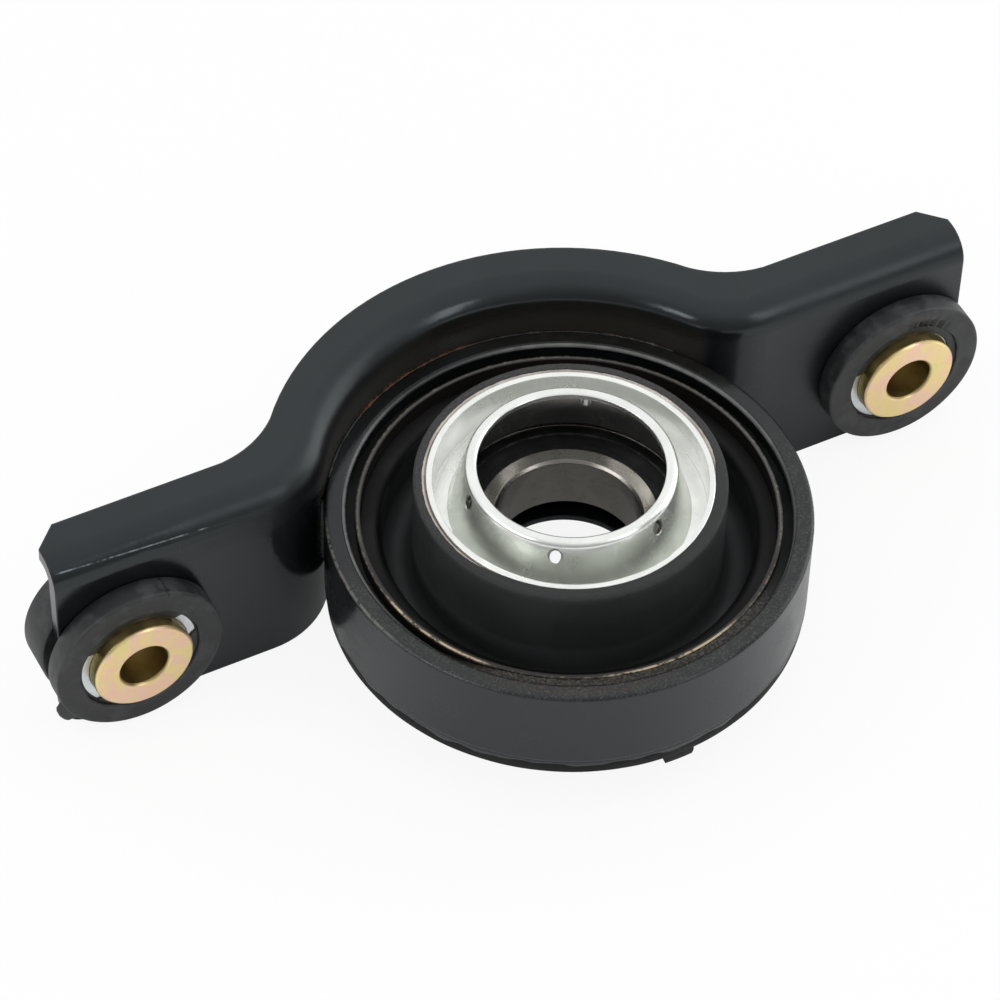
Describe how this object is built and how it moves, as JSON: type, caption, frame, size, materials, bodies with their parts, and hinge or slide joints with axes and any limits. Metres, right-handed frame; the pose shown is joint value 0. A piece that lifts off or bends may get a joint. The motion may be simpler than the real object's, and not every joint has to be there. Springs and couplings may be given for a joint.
{
  "type": "driveshaft centre bearing",
  "caption": "Centre support bearing for a split driveshaft: rubber-cushioned ball bearing in a steel ring, on an arched strap with rubber-bushed arms.",
  "frame": {"origin": "middle of the bearing bore, on the bearing axis", "axes": "+Z along the bearing axis towards the front dust shield, +X along the arms, +Y towards the arch of the strap"},
  "size_m": [0.2168, 0.1132, 0.05],
  "materials": {
    "black_paint": "satin black paint",
    "worn_paint": "satin black paint, worn brown on the face",
    "bare_steel": "bare steel edge with light rust",
    "cushion_rubber": "matte moulded rubber",
    "bright_zinc": "bright zinc plate",
    "dark_coating": "dark coating",
    "bearing_steel": "ground bearing steel",
    "cage_steel": "pressed steel",
    "seal_rubber": "matte rubber",
    "bushing_rubber": "satin moulded rubber",
    "white_zinc": "white zinc plate",
    "yellow_zinc": "yellow passivated zinc"
  },
  "bodies": {
    "frame": {"bracket": "black_paint", "outer_ring": "worn_paint", "insert_sleeve": "bare_steel", "rubber_cushion": "cushion_rubber", "bearing_carrier": "bare_steel", "front_dust_shield": "bright_zinc", "rear_dust_shield": "dark_coating", "outer_race": "bearing_steel", "front_seal": "seal_rubber", "rear_seal": "seal_rubber", "left_bushing": "bushing_rubber", "left_liner": "white_zinc", "left_bolt_sleeve": "yellow_zinc", "right_bushing": "bushing_rubber", "right_liner": "white_zinc", "right_bolt_sleeve": "yellow_zinc"},
    "race": {"inner_race": "bearing_steel"},
    "cage": {"balls": "bearing_steel", "front_cage_half": "cage_steel", "rear_cage_half": "cage_steel", "cage_rivets": "cage_steel"}
  },
  "joints": [
    {"name": "race_spin", "type": "hinge", "parent": "frame", "child": "race", "pos_m": [0, 0, 0], "axis": [0, 0, 1], "continuous": true},
    {"name": "cage_spin", "type": "hinge", "parent": "frame", "child": "cage", "pos_m": [0, 0, 0], "axis": [0, 0, 1], "continuous": true}
  ],
  "couplings": [
    {"joint": "cage_spin", "follows": "race_spin", "ratio": 0.41595}
  ]
}
